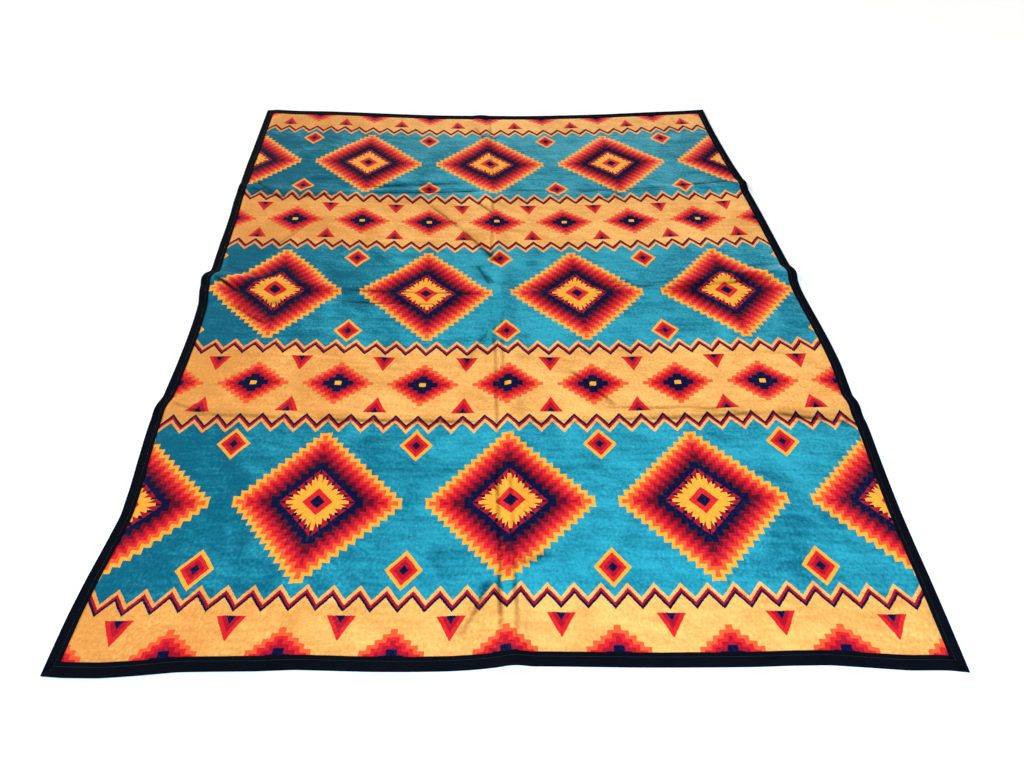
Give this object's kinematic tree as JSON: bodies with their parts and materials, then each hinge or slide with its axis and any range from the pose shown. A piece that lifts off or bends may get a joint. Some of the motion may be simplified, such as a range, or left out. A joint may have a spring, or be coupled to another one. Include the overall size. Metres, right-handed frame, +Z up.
{
  "type": "plush throw blanket",
  "caption": "Bed-size plush blanket laid out flat and face up, with fold marks, a printed geometric face and a dark woven tape binding round its edges.",
  "frame": {"origin": "on the ground, under the middle of the laid-out blanket's box", "axes": "+Y to the far edge, along the blanket's length; +X to the right edge; +Z up from the ground"},
  "size_m": [2.0698, 2.4422, 0.0225],
  "materials": {
    "printed_plush": "short brushed pile, printed in warm colours on turquoise",
    "binding_tape": "plain woven black tape, folded over the edge and stitched"
  },
  "bodies": {
    "root": {"plush_panel": "printed_plush", "binding_front": "binding_tape", "binding_back": "binding_tape", "binding_left": "binding_tape", "binding_right": "binding_tape"}
  },
  "joints": []
}
